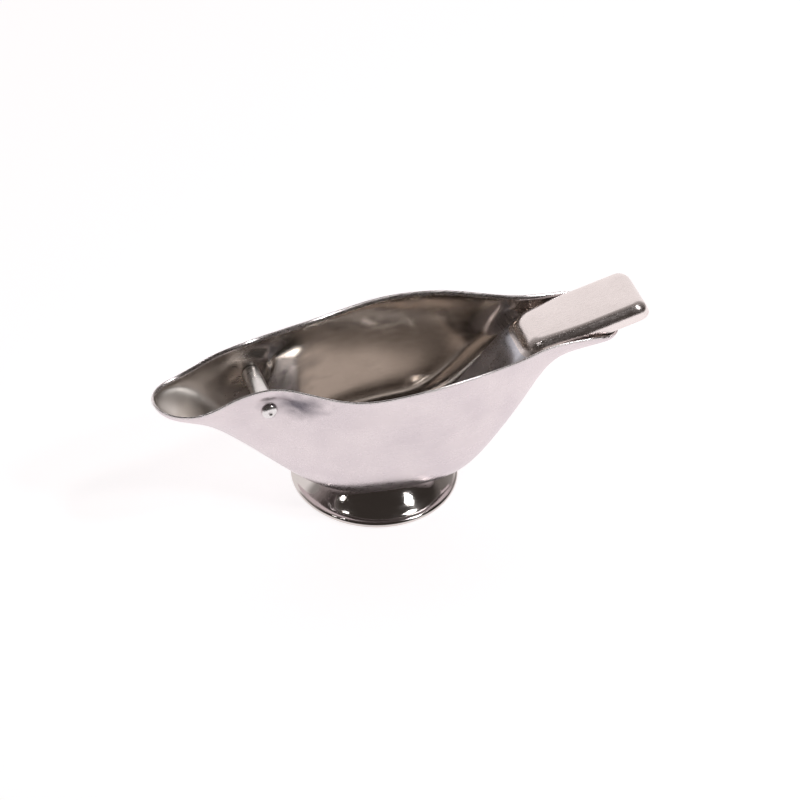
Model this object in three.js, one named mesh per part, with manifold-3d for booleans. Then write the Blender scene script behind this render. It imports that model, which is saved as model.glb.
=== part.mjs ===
// Stainless steel gravy boat: a pressed bowl with a spout and a rear tongue, a spun ring foot,
// a pressed channel handle, and a rivet across the spout neck that carries a loose spacer sleeve.
// Millimetres, +Z up. The spout points to -X and the handle to +X.
// All shapes are drawn from the centre of the foot on the table. The group at the end moves them
// so that the origin is the middle of the whole object's footprint.
import * as THREE from 'three';
import * as BufferGeometryUtils from 'three/addons/utils/BufferGeometryUtils.js';
import Module from 'manifold-3d';

const wasm = await Module();
wasm.setup();

// ---- driving dimensions ----
const SHEET = 0.9;             // thickness of the pressed steel
const GAP = 0.3;               // clearance between pieces that touch
const FOOT_CENTRE_X = -9.655;  // foot centre in the object's own frame

const TIP_X = -95.5;           // wall at the tip of the spout
const TIP_Z = 62.4;
const TIP_LENGTH = 26;         // the spout's last stretch, drawn with closer stations
const TONGUE_END_X = 101.5;    // end of the tongue under the handle
const TONGUE_CORNER = 6;       // length over which the tongue's end is rounded
const TONGUE_DRAW_IN = 4.5;    // and how far its sides draw in
const LIP_RADIUS = 1.8;        // the rim is rolled outwards through this arc
const LIP_ANGLE = 1.25;
const LIP_FADE_START = 14;     // the roll dies out between these distances from the tongue's end
const LIP_FADE_END = 3;
const LIP_LEAST = 0.08;        // share of the roll that is left at the end
const ROW_SWING = 1.15;        // spreads the points of a row towards the keel and the rims

const BAR_X = -51.4;           // rivet across the spout neck
const BAR_Z = 58.6;
const SEAT_RADIUS = 4.6;       // flat ring of wall around each rivet hole
const SEAT_REACH = 3;          // over how many seat radii the wall eases back
const SEAT_FADE_START = 0.5;   // the seat fades out between these distances below the rim
const SEAT_FADE_END = 7;
const NECK_PINCH = 2.6;        // the walls are drawn together below the rim at the spout's neck
const NECK_LENGTH = 16;        // and ease back over this length
const NECK_BELOW_RIM = 10;
const RIVET_RADIUS = 2.2;
const RIVET_HOLE_RADIUS = 2.5;
const RIVET_HOLE_REACH = 40;   // the drill passes both walls
const RIVET_HEAD_RADIUS = 3.5;
const RIVET_HEAD_EDGE = 0.35;
const RIVET_HEAD_HEIGHT = 2;
const RIVET_HEAD_FULLNESS = 0.75; // below 1 the dome is fuller than a half ellipse
const RIVET_DIMPLE_RADIUS = 1.15;
const RIVET_DIMPLE_FLOOR = RIVET_DIMPLE_RADIUS / 3;
const RIVET_DIMPLE_DEPTH = 0.68;
const SLEEVE_OUTER_RADIUS = 3.8;
const SLEEVE_INNER_RADIUS = 2.75;
const SLEEVE_END_PLAY = 0.45;
const SLEEVE_CHAMFER = 0.3;

const HANDLE_HALF_WIDTH = 13.5;
const HANDLE_START_X = 61.7;   // front of the handle at the level of its top panel
const HANDLE_START_Z = 61.8;
const HANDLE_LENGTH = 53.4;
const HANDLE_SLOPE = 0.24;     // radians that the top panel rises outwards
const HANDLE_DEPTH = 7;
const HANDLE_SIDE_FLARE = 0.3; // the side walls and the end wall lean outwards by this much
const HANDLE_END_FLARE = 1.3;
const HANDLE_END_STRETCH = 12; // length over which the end wall's lean fades in
const HANDLE_MOST_FLARE = 1.2; // the lean grows no further below this share of the depth
const HANDLE_END_EDGE = 4.2;   // rounding between the top panel and the walls
const HANDLE_START_EDGE = 6.4;
const HANDLE_EDGE_STRETCH = 30;
const HANDLE_END_CORNER = 5.2; // rounding of the plan corners
const HANDLE_START_CORNER = 8.2;

// The handle's front turns from a short wall into an apron that slides down the rear slope.
const APRON_DEPTH = 4.9;       // level of the turn below the top panel
const APRON_FILLET = 0.7;
const APRON_LEAN = 0.86;       // how far the apron runs forwards for each millimetre down
const APRON_SHOULDER = 4.2;    // flatter first stretch of the apron
const APRON_SHOULDER_DEPTH = 1.5;
const APRON_TROUGH = 0.3;      // its sides run further forwards than its middle
const APRON_SPREAD = 0.25;
const APRON_LONGEST = 27;
const APRON_START = 2;         // the front's shape fades out between these places on the panel,
const APRON_WALL_START = 1;    // and its length from this one on
const APRON_END = 14;

const FOOT_RADIUS = 35.4;
const FOOT_BRIM_RADIUS = 33.4; // where the flare levels out into the brim
const FOOT_BRIM_HEIGHT = 2.5;
const FOOT_BRIM_FILLET = 1.1;
const FOOT_SLOPE = 0.62;
const FOOT_HOLLOW = 0.0186;    // curvature of the flare towards the neck
const FOOT_SHEET = 1.1;
const FOOT_TOP_RADIUS = 20;    // the flare runs on into the bowl's bottom before it is cut
const FOOT_EDGE_RADIUS = 1.2;  // half-round outer edge
const FOOT_RING_INSET = 0.4;   // the inside runs this far inside the brim's start

// ---- fineness of the meshes ----
const TIP_STEPS = 10;
const MIDDLE_STEPS = 44;
const TONGUE_END_STEPS = 5;
const WALL_STEPS = 9;          // from the keel up to each rim
const LIP_STEPS = 3;
const RING_CROWDING = 1.5;     // the rings of the handle's walls crowd towards the top
const HOLE_SEGMENTS = 20;
const RIVET_SEGMENTS = 24;
const SLEEVE_SEGMENTS = 28;
const FOOT_SEGMENTS = 48;
const BLOCK_TOP = 60;          // flat levels of the cutting blocks above and below the bowl
const BLOCK_BOTTOM = -40;

// ---- smooth curves through a few stations ----
// Returns the height of a smooth curve through [place, height] stations, with each station's
// slope taken from its two neighbours. Places are measured by `scale`.
function curveThrough(stations, scale = (place) => place) {
  const at = stations.map(([place]) => scale(place));
  const height = stations.map(([, value]) => value);
  const last = at.length - 1;
  const slope = at.map((_, i) => {
    const before = Math.max(i - 1, 0);
    const after = Math.min(i + 1, last);
    return (height[after] - height[before]) / (at[after] - at[before]);
  });
  return (place) => {
    const here = Math.min(Math.max(scale(place), at[0]), at[last]);
    let i = 0;
    while (i < last - 1 && here > at[i + 1]) {
      i += 1;
    }
    const span = at[i + 1] - at[i];
    const t = (here - at[i]) / span;
    const ease = t * t * (3 - 2 * t);
    const lean = t * (1 - t) * (1 - t) * slope[i] - t * t * (1 - t) * slope[i + 1];
    return height[i] + (height[i + 1] - height[i]) * ease + span * lean;
  };
}

// The spout tip is round, so widths and depths grow with the square root of the distance to it.
const fromTip = (x) => Math.sqrt(Math.max(x - TIP_X, 0));

// ---- the bowl's inner face ----
const rimHalfWidth = curveThrough([
  [TIP_X, 0], [-91.5, 8], [-84, 11.8], [-75, 13.4], [-58, 14.1], [-49, 15.4], [-38, 19.4],
  [-25, 24.8], [-10, 28.6], [12, 30.2], [30, 28.4], [43, 25.4], [56, 21.1], [66, 17.3],
  [76, 15.5], [90, 15], [TONGUE_END_X, 14.4],
], fromTip);
const rimHeight = curveThrough([
  [TIP_X, TIP_Z], [-84, 61.8], [-76, 63.8], [-66, 68], [-55, 70.3], [-46, 70.3], [-36, 68.3],
  [-22, 65.3], [-10, 64.9], [12, 66.6], [30, 66.9], [43, 66.2], [58, 64.6], [72, 64.1],
  [88, 63.1], [TONGUE_END_X, 62.6],
], fromTip);
const keelHeight = curveThrough([
  [TIP_X, TIP_Z], [-92, 59.2], [-84, 56.4], [-76, 51.4], [-68, 44.4], [-58, 34.6], [-46, 23],
  [-35, 14.3], [-24, 9.6], [-10, 8.2], [15, 8.2], [28, 10], [38, 16.6], [50, 29.6], [58, 38.8],
  [65, 47.4], [70, 52.4], [76, 54.6], [90, 56.8], [TONGUE_END_X, 58.4],
], fromTip);
const squareness = curveThrough([
  [TIP_X, 2], [-75, 2.2], [-55, 2.6], [-35, 3.4], [-10, 5], [25, 5.4], [52, 5.6], [64, 4.8],
  [76, 2.8], [TONGUE_END_X, 2.5],
], fromTip);

// 1 along the tongue, falling to 0 round its closed end.
function tongueFade(x) {
  const into = Math.max(x - (TONGUE_END_X - TONGUE_CORNER), 0) / TONGUE_CORNER;
  return Math.sqrt(Math.max(1 - into * into, 0));
}

// The wall at station x: its top, its half-width there, and its depth down to the keel. At the
// tongue's end the width draws in a little and the floor rises to the rim, as in a tray.
function wall(x) {
  const fade = tongueFade(x);
  const top = rimHeight(x);
  return {
    top,
    halfWidth: rimHalfWidth(x) - TONGUE_DRAW_IN * (1 - fade),
    depth: (top - keelHeight(x)) * fade,
  };
}

const SEAT_Y = rimHalfWidth(BAR_X) - NECK_PINCH;

// A point of the bowl's inner face. `across` runs from -1 at the near rim over 0 at the keel
// to 1 at the far rim.
function innerFace(x, across) {
  const { top, halfWidth, depth } = wall(x);
  const side = Math.sign(across);
  const swing = 2 * Math.abs(across) - 1;
  const angle = (Math.PI / 4) * (1 + Math.sign(swing) * Math.abs(swing) ** ROW_SWING);
  const n = squareness(x);
  const reach = (Math.sin(angle) ** n + Math.cos(angle) ** n) ** (1 / n);
  let y = halfWidth * Math.sin(angle) / reach;
  const z = top - depth * Math.cos(angle) / reach;
  const { smoothstep } = THREE.MathUtils;
  const neck = Math.exp(-(((x - BAR_X) / NECK_LENGTH) ** 2));
  const pinch = NECK_PINCH * neck * smoothstep(top - z, 0, NECK_BELOW_RIM);
  y *= 1 - pinch / rimHalfWidth(BAR_X);
  const fromRivet = Math.hypot(x - BAR_X, z - BAR_Z);
  if (side !== 0 && fromRivet < SEAT_REACH * SEAT_RADIUS) {
    const pressed = 1 - smoothstep(fromRivet, SEAT_RADIUS, SEAT_REACH * SEAT_RADIUS);
    y += (SEAT_Y - y) * pressed * smoothstep(top - z, SEAT_FADE_START, SEAT_FADE_END);
  }
  return new THREE.Vector3(x, side * y, z);
}

// The horizontal direction that points outwards from the rim at station x, on the +Y side.
function rimOutward(x) {
  if (x - TIP_X < 0.001) {
    return new THREE.Vector3(-1, 0, 0);
  }
  const step = 0.02 * (x - TIP_X) + 0.001;
  const last = Math.min(x + step, TONGUE_END_X);
  const first = x - step;
  const rise = wall(last).halfWidth - wall(first).halfWidth;
  return new THREE.Vector3(-rise, last - first, 0).normalize();
}

// How much of the full lip the rim has at station x: it dies out near the tongue's end.
function lipShare(x) {
  const start = TONGUE_END_X - LIP_FADE_START;
  return 1 - THREE.MathUtils.smoothstep(x, start, TONGUE_END_X - LIP_FADE_END);
}

// One station of the inner face, from the near lip over the keel to the far lip.
function innerStation(x, wallSteps, lipSteps) {
  const outward = rimOutward(x);
  const radius = LIP_RADIUS * Math.max(lipShare(x), LIP_LEAST);
  const lip = [];
  for (let k = 1; k <= lipSteps; k += 1) {
    const turn = LIP_ANGLE * k / lipSteps;
    const out = radius * (1 - Math.cos(turn));
    lip.push([out, radius * Math.sin(turn)]);
  }
  const lipPoint = (side, [out, up]) => {
    const rim = innerFace(x, side);
    return new THREE.Vector3(rim.x + outward.x * out, rim.y + side * outward.y * out, rim.z + up);
  };
  const near = lip.map((place) => lipPoint(-1, place)).reverse();
  const far = lip.map((place) => lipPoint(1, place));
  const middle = [];
  for (let k = -wallSteps; k <= wallSteps; k += 1) {
    middle.push(innerFace(x, k / wallSteps));
  }
  return [...near, ...middle, ...far];
}

// Stations crowd together at the round tip and at the tongue's end corners.
function stationPlaces(tipSteps, middleSteps, endSteps) {
  const tipEnd = TIP_X + TIP_LENGTH;
  const nearlyAll = 0.985;
  const endStart = TONGUE_END_X - TONGUE_CORNER;
  const places = [];
  for (let k = 0; k < tipSteps; k += 1) {
    places.push(TIP_X + TIP_LENGTH * (k / tipSteps) ** 2);
  }
  for (let k = 0; k < middleSteps; k += 1) {
    places.push(tipEnd + (endStart - tipEnd) * k / middleSteps);
  }
  for (let k = 0; k <= endSteps; k += 1) {
    places.push(endStart + TONGUE_CORNER * nearlyAll * Math.sin(Math.PI / 2 * k / endSteps));
  }
  return places;
}

// ---- meshes from grids of points ----
// One closed skin from points and the index triples of its triangles.
function closedSkin(points, triangles) {
  const raw = new THREE.BufferGeometry();
  const flat = points.flatMap((p) => [p.x, p.y, p.z]);
  raw.setAttribute('position', new THREE.Float32BufferAttribute(flat, 3));
  raw.setIndex(triangles);
  return mergedCopy(raw);
}

// The same skin with coincident points made one and with no empty triangles.
function mergedCopy(geometry) {
  const bare = geometry.clone();
  bare.deleteAttribute('normal');
  bare.deleteAttribute('uv');
  const merged = BufferGeometryUtils.mergeVertices(bare, 1e-4);
  const index = merged.getIndex().array;
  const kept = [];
  for (let i = 0; i < index.length; i += 3) {
    const [a, b, c] = [index[i], index[i + 1], index[i + 2]];
    if (a !== b && b !== c && c !== a) {
      kept.push(a, b, c);
    }
  }
  merged.setIndex(kept);
  return merged;
}

// Two triangles for each cell of a grid whose rows all have `width` points.
function gridTriangles(rows, width, start, flip) {
  const triangles = [];
  for (let r = 0; r < rows - 1; r += 1) {
    for (let c = 0; c < width - 1; c += 1) {
      const a = start + r * width + c;
      const b = a + 1;
      const d = a + width;
      const e = d + 1;
      triangles.push(...(flip ? [a, d, b, b, d, e] : [a, b, d, b, e, d]));
    }
  }
  return triangles;
}

function toSolid(geometry) {
  return new wasm.Manifold(new wasm.Mesh({
    numProp: 3,
    vertProperties: new Float32Array(geometry.getAttribute('position').array),
    triVerts: new Uint32Array(geometry.getIndex().array),
  }));
}

function fromSolid(solid) {
  const mesh = solid.getMesh();
  const geometry = new THREE.BufferGeometry();
  geometry.setAttribute('position', new THREE.BufferAttribute(mesh.vertProperties, 3));
  geometry.setIndex(new THREE.BufferAttribute(mesh.triVerts, 1));
  return geometry;
}

// ---- the bowl's two faces as grids ----
const PLACES = stationPlaces(TIP_STEPS, MIDDLE_STEPS, TONGUE_END_STEPS);
const WIDTH = 2 * (WALL_STEPS + LIP_STEPS) + 1;
const innerRows = PLACES.map((x) => innerStation(x, WALL_STEPS, LIP_STEPS));

// The grid of points a given distance out from the inner face, along the face's normals.
function offsetRows(rows, distance) {
  const last = rows.length - 1;
  const middle = (WIDTH - 1) / 2;
  return rows.map((row, r) => row.map((point, c) => {
    const left = row[Math.max(c - 1, 0)];
    const right = row[Math.min(c + 1, WIDTH - 1)];
    const across = new THREE.Vector3().subVectors(right, left);
    if (r === 0) {
      const onLip = Math.abs(c - middle) > WALL_STEPS;
      const normal = new THREE.Vector3(-1, 0, 0);
      if (onLip) {
        normal.set(-Math.abs(across.z), 0, -Math.abs(across.x)).normalize();
      }
      return point.clone().addScaledVector(normal, distance);
    }
    const ahead = rows[Math.min(r + 1, last)][c];
    const behind = rows[r - 1][c];
    const along = new THREE.Vector3().subVectors(ahead, behind);
    const normal = across.cross(along).normalize();
    return point.clone().addScaledVector(normal, distance);
  }));
}

// A closed body between two grids of the same shape, the first one on top. The row at the
// spout tip needs no wall, because the near and far halves of a grid meet there.
function bodyBetween(topRows, bottomRows) {
  const rows = topRows.length;
  const width = topRows[0].length;
  const below = rows * width;
  const triangles = [
    ...gridTriangles(rows, width, 0, true),
    ...gridTriangles(rows, width, below, false),
  ];
  const stitch = (a, b) => {
    triangles.push(b, a, a + below, b, a + below, b + below);
  };
  for (let r = 0; r < rows - 1; r += 1) {
    stitch(r * width, (r + 1) * width);
    stitch((r + 2) * width - 1, (r + 1) * width - 1);
  }
  const end = (rows - 1) * width;
  for (let c = 0; c < width - 1; c += 1) {
    stitch(end + c, end + c + 1);
  }
  return closedSkin([...topRows.flat(), ...bottomRows.flat()], triangles);
}

const bowlShell = () => bodyBetween(innerRows, offsetRows(innerRows, SHEET));

// A closed block beside the bowl, between a grid offset from its inner face and a flat level.
// Pieces that touch the bowl are cut with it.
function blockBeside(distance, level) {
  const withoutLip = (row) => row.slice(LIP_STEPS, WIDTH - LIP_STEPS);
  const face = offsetRows(innerRows, distance).map(withoutLip);
  const flat = face.map((row) => row.map((p) => new THREE.Vector3(p.x, p.y, level)));
  const upwards = level > 0;
  return toSolid(bodyBetween(upwards ? flat : face, upwards ? face : flat));
}

// ---- round pieces ----
// A solid of revolution about the Y axis through the rivet, from [radius, y] points.
function turnedAcross(profile, segments) {
  const outline = profile.map(([radius, y]) => new THREE.Vector2(radius, y));
  const geometry = new THREE.LatheGeometry(outline, segments);
  geometry.translate(BAR_X, 0, BAR_Z);
  return mergedCopy(geometry);
}

function bowl() {
  const hole = turnedAcross([
    [0, -RIVET_HOLE_REACH], [RIVET_HOLE_RADIUS, -RIVET_HOLE_REACH],
    [RIVET_HOLE_RADIUS, RIVET_HOLE_REACH], [0, RIVET_HOLE_REACH],
  ], HOLE_SEGMENTS);
  return fromSolid(toSolid(bowlShell()).subtract(toSolid(hole)));
}

// A shank across both walls with a domed head on each side, each with a small dimple.
function rivet() {
  const seat = SEAT_Y + SHEET + GAP;
  const edge = seat + RIVET_HEAD_EDGE;
  const far = [[RIVET_RADIUS, seat], [RIVET_HEAD_RADIUS, seat], [RIVET_HEAD_RADIUS, edge]];
  const steps = 6;
  for (let k = 1; k < steps; k += 1) {
    const turn = Math.PI / 2 * k / steps;
    const radius = RIVET_HEAD_RADIUS * Math.cos(turn) ** RIVET_HEAD_FULLNESS;
    if (radius > RIVET_DIMPLE_RADIUS) {
      far.push([radius, edge + (RIVET_HEAD_HEIGHT - RIVET_HEAD_EDGE) * Math.sin(turn)]);
    }
  }
  far.push([RIVET_DIMPLE_RADIUS, seat + RIVET_HEAD_HEIGHT]);
  far.push([RIVET_DIMPLE_FLOOR, seat + RIVET_HEAD_HEIGHT - RIVET_DIMPLE_DEPTH]);
  far.push([0, seat + RIVET_HEAD_HEIGHT - RIVET_DIMPLE_DEPTH]);
  const near = far.map(([radius, y]) => [radius, -y]).reverse();
  return turnedAcross([...near, ...far], RIVET_SEGMENTS);
}

function crossbarSleeve() {
  const end = SEAT_Y - SLEEVE_END_PLAY;
  return turnedAcross([
    [SLEEVE_INNER_RADIUS, -end], [SLEEVE_OUTER_RADIUS - SLEEVE_CHAMFER, -end],
    [SLEEVE_OUTER_RADIUS, -end + SLEEVE_CHAMFER], [SLEEVE_OUTER_RADIUS, end - SLEEVE_CHAMFER],
    [SLEEVE_OUTER_RADIUS - SLEEVE_CHAMFER, end], [SLEEVE_INNER_RADIUS, end],
    [SLEEVE_INNER_RADIUS, -end],
  ], SLEEVE_SEGMENTS);
}

// ---- the foot ----
// Height of the flare's outer face: a cone, a little hollow, that levels out into the brim.
function flareHeight(radius) {
  const over = FOOT_BRIM_RADIUS - radius;
  const rise = (over + Math.hypot(over, FOOT_BRIM_FILLET)) / 2;
  return FOOT_BRIM_HEIGHT + FOOT_SLOPE * rise + FOOT_HOLLOW * rise * rise;
}

// A spun ring, open below and above. It stands on a flat ring under its brim, and the bowl's
// bottom closes it on top.
function foot() {
  const flareSteps = 9;
  const edgeSteps = 6;
  const last = FOOT_RADIUS - FOOT_EDGE_RADIUS;
  const outside = [];
  for (let k = 0; k <= flareSteps; k += 1) {
    const radius = FOOT_TOP_RADIUS + (last - FOOT_TOP_RADIUS) * k / flareSteps;
    outside.push([radius, flareHeight(radius)]);
  }
  const edgeTop = flareHeight(last);
  const edge = [];
  for (let k = 1; k <= edgeSteps; k += 1) {
    const turn = Math.PI / 2 - Math.PI * k / edgeSteps;
    edge.push([last + FOOT_EDGE_RADIUS * Math.cos(turn), edgeTop / 2 * (1 + Math.sin(turn))]);
  }
  const ringInner = FOOT_BRIM_RADIUS - FOOT_RING_INSET;
  const inside = [];
  for (let k = 0; k <= flareSteps; k += 1) {
    const share = k / flareSteps;
    const radius = ringInner - FOOT_RING_INSET + (FOOT_TOP_RADIUS - ringInner) * share;
    inside.push([radius, flareHeight(radius + FOOT_RING_INSET) - FOOT_SHEET]);
  }
  const profile = [...outside, ...edge, [ringInner, 0], ...inside, outside[0]];
  const outline = profile.map(([radius, z]) => new THREE.Vector2(radius, z)).reverse();
  const geometry = new THREE.LatheGeometry(outline, FOOT_SEGMENTS);
  geometry.rotateX(Math.PI / 2);
  const ring = toSolid(mergedCopy(geometry));
  return fromSolid(ring.subtract(blockBeside(SHEET + GAP, BLOCK_TOP)));
}

// ---- the handle ----
// A drawn channel, closed at both ends and open below. Its front turns into an apron that runs
// down the rear slope of the bowl, and its side walls hang over the tongue.

// The plan outline: points along and across the panel with their outward directions.
function handleOutline() {
  const cornerSteps = 6;
  const sideSteps = 7;
  const corners = [[1, 1], [0, 1], [0, -1], [1, -1]].map(([end, side], quarter) => {
    const radius = end ? HANDLE_END_CORNER : HANDLE_START_CORNER;
    const middle = end ? HANDLE_LENGTH - radius : radius;
    return { middle, y: side * (HANDLE_HALF_WIDTH - radius), radius, quarter };
  });
  const outline = [];
  corners.forEach(({ middle, y, radius, quarter }, i) => {
    for (let k = 0; k <= cornerSteps; k += 1) {
      const turn = Math.PI / 2 * (quarter + k / cornerSteps);
      const [outS, outY] = [Math.cos(turn), Math.sin(turn)];
      outline.push([middle + radius * outS, y + radius * outY, outS, outY]);
    }
    const next = corners[(i + 1) % corners.length];
    const [fromS, fromY, outS, outY] = outline[outline.length - 1];
    const toS = next.middle + next.radius * outS;
    const toY = next.y + next.radius * outY;
    for (let k = 1; k < sideSteps; k += 1) {
      const share = k / sideSteps;
      outline.push([fromS + (toS - fromS) * share, fromY + (toY - fromY) * share, outS, outY]);
    }
  });
  return outline;
}

// The radius of the rounded top edge, which grows towards the handle's root.
function handleEdge(s) {
  const rootness = 1 - THREE.MathUtils.smoothstep(s, 0, HANDLE_EDGE_STRETCH);
  return HANDLE_END_EDGE + (HANDLE_START_EDGE - HANDLE_END_EDGE) * rootness;
}

// A point of the handle: along the top panel, across it, and down from it.
function handlePlace(s, y, depth) {
  const { smoothstep } = THREE.MathUtils;
  const over = depth - APRON_DEPTH;
  const slide = (over + Math.hypot(over, APRON_FILLET)) / 2;
  const frontness = 1 - smoothstep(s, APRON_START, APRON_END);
  const endness = smoothstep(s, HANDLE_LENGTH - HANDLE_END_STRETCH, HANDLE_LENGTH);
  const flare = Math.min(depth / HANDLE_DEPTH, HANDLE_MOST_FLARE);
  const hollow = 1 + APRON_TROUGH * (Math.abs(y) / HANDLE_HALF_WIDTH) ** 3;
  const shoulder = APRON_SHOULDER * (1 - Math.exp(-slide / APRON_SHOULDER_DEPTH));
  const lean = APRON_LEAN * slide * hollow + shoulder;
  const along = s - frontness * lean + HANDLE_END_FLARE * flare * endness;
  const spread = HANDLE_SIDE_FLARE * flare + frontness * APRON_SPREAD * slide;
  const [cos, sin] = [Math.cos(HANDLE_SLOPE), Math.sin(HANDLE_SLOPE)];
  return new THREE.Vector3(
    HANDLE_START_X + along * cos + depth * sin,
    y * (1 + spread / HANDLE_HALF_WIDTH),
    HANDLE_START_Z + along * sin - depth * cos,
  );
}

// Rings from the top panel over the rounded edge and down the walls.
function handleRings(thickness) {
  const edgeSteps = 6;
  const wallSteps = 12;
  const rings = Array.from({ length: edgeSteps + wallSteps + 1 }, () => []);
  handleOutline().forEach(([s, y, outS, outY]) => {
    const edge = handleEdge(s);
    const wallS = s - outS * thickness;
    const wallY = y - outY * thickness;
    for (let k = 0; k <= edgeSteps; k += 1) {
      const turn = Math.PI / 2 * k / edgeSteps;
      const inset = (edge - thickness) * (1 - Math.sin(turn));
      const drop = thickness + (edge - thickness) * (1 - Math.cos(turn));
      rings[k].push(handlePlace(wallS - outS * inset, wallY - outY * inset, drop));
    }
    const apron = 1 - THREE.MathUtils.smoothstep(s, APRON_WALL_START, APRON_END);
    const bottom = HANDLE_DEPTH + APRON_LONGEST * apron;
    for (let k = 1; k <= wallSteps; k += 1) {
      const depth = edge + (bottom - edge) * (k / wallSteps) ** RING_CROWDING;
      rings[edgeSteps + k].push(handlePlace(wallS, wallY, depth));
    }
  });
  return rings;
}

// One closed skin over a stack of rings, with a flat fan over the first and over the last.
function ringSkin(rings) {
  const count = rings[0].length;
  const points = rings.flat();
  const triangles = [];
  for (let r = 0; r < rings.length - 1; r += 1) {
    for (let c = 0; c < count; c += 1) {
      const a = r * count + c;
      const b = r * count + (c + 1) % count;
      triangles.push(a, a + count, b, b, a + count, b + count);
    }
  }
  [0, rings.length - 1].forEach((ring) => {
    const middle = new THREE.Vector3();
    rings[ring].forEach((point) => middle.addScaledVector(point, 1 / count));
    const centre = points.push(middle) - 1;
    for (let c = 0; c < count; c += 1) {
      const a = ring * count + c;
      const b = ring * count + (c + 1) % count;
      triangles.push(...(ring === 0 ? [a, b, centre] : [b, a, centre]));
    }
  });
  return closedSkin(points, triangles);
}

function handle() {
  const shell = ringSkin([...handleRings(0), ...handleRings(SHEET).reverse()]);
  return fromSolid(toSolid(shell).subtract(blockBeside(-GAP, BLOCK_BOTTOM)));
}

// ---- materials and assembly ----
function steel(colour, roughness) {
  return new THREE.MeshStandardMaterial({ color: colour, roughness, metalness: 1 });
}

function named(name, geometry, material) {
  const mesh = new THREE.Mesh(geometry, material);
  mesh.name = name;
  return mesh;
}

const boat = new THREE.Group();
boat.add(named('bowl', bowl(), steel(0xd8d2d2, 0.22)));
boat.add(named('foot', foot(), steel(0xcfcac8, 0.08)));
boat.add(named('handle', handle(), steel(0xdcd4d1, 0.25)));
boat.add(named('crossbar_sleeve', crossbarSleeve(), steel(0xcfc9c5, 0.12)));
boat.add(named('rivet', rivet(), steel(0xd2cdca, 0.18)));
boat.position.x = FOOT_CENTRE_X;

const model = new THREE.Group();
model.add(boat);

export default model;
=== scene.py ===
import math

import bpy
import bmesh
from mathutils import Matrix, Vector


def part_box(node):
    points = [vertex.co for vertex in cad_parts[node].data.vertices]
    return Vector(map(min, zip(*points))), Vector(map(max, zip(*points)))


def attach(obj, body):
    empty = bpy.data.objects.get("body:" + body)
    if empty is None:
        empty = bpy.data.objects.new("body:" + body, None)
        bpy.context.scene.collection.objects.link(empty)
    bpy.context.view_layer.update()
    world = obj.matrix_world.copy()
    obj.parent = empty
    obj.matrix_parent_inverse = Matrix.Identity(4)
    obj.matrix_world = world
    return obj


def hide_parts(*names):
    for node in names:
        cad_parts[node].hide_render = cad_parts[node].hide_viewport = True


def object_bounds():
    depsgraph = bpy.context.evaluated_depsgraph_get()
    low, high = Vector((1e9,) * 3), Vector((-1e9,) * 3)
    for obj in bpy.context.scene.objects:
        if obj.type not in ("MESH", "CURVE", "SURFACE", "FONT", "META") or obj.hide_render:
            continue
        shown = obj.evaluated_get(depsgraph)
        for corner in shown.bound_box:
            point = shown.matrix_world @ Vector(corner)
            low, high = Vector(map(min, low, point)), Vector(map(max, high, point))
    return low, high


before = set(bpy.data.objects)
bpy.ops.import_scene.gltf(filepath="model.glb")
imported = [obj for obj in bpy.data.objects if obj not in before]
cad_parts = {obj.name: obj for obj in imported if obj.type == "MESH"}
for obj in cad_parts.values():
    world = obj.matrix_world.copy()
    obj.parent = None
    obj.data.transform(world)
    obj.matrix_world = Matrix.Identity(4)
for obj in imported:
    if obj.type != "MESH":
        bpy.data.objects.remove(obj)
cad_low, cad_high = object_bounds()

# Shapes are drawn in millimetres from the centre of the foot on the table, +Z up, spout to -X,
# and are put into the frame in metres.
MM = 0.001
foot_low, foot_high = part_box("foot")
FOOT_CENTRE = Vector(((foot_low[0] + foot_high[0]) / 2, 0.0, foot_low[2]))

# ---- driving dimensions ----
SHEET = 0.9                    # thickness of the pressed steel
SINK = 0.4                     # welded pieces reach this far into the bowl's sheet

TIP_X = -95.5                  # the wall at the tip of the spout
TIP_Z = 62.4
TIP_LENGTH = 26.0              # the spout's last stretch, drawn with closer stations
TONGUE_END_X = 101.5           # the end of the tongue under the handle
TONGUE_CORNER = 6.0            # length over which the tongue's end is rounded
TONGUE_DRAW_IN = 4.5           # and how far its sides draw in
LIP_RADIUS = 1.8               # the rim is rolled outwards through this arc
LIP_ANGLE = 1.25
LIP_FADE_START = 14.0          # the roll dies out between these distances from the tongue's end
LIP_FADE_END = 3.0
LIP_LEAST = 0.08               # share of the roll that is left at the end
ROW_SWING = 1.15               # spreads the points of a row towards the keel and the rims

BAR_X = -51.4                  # the rivet across the spout neck
BAR_Z = 58.6
SEAT_RADIUS = 4.6              # flat ring of wall around each rivet hole
SEAT_REACH = 3.0               # over how many seat radii the wall eases back
SEAT_FADE_START = 0.5          # the seat fades out between these distances below the rim
SEAT_FADE_END = 7.0
NECK_PINCH = 2.6               # the walls are drawn together below the rim at the spout's neck
NECK_LENGTH = 16.0             # and ease back over this length
NECK_BELOW_RIM = 10.0
RIVET_RADIUS = 2.2
RIVET_HEAD_RADIUS = 3.5
RIVET_HEAD_HEIGHT = 2.0
RIVET_HEAD_EDGE = 0.35         # height of the head's upright edge
RIVET_HEAD_CHAMFER = 0.15
RIVET_HEAD_FULLNESS = 0.75     # below 1 the dome is fuller than a half ellipse
RIVET_SEAT_GAP = 0.02
RIVET_DIMPLE_RADIUS = 1.15
RIVET_DIMPLE = ((1.0, 0.96), (0.75, 0.8), (0.35, 0.68), (0.0, 0.66))  # radii, shares of the height
SLEEVE_OUTER_RADIUS = 3.8
SLEEVE_INNER_RADIUS = 2.75
SLEEVE_END_PLAY = 0.45
SLEEVE_CORNER = 0.22

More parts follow.
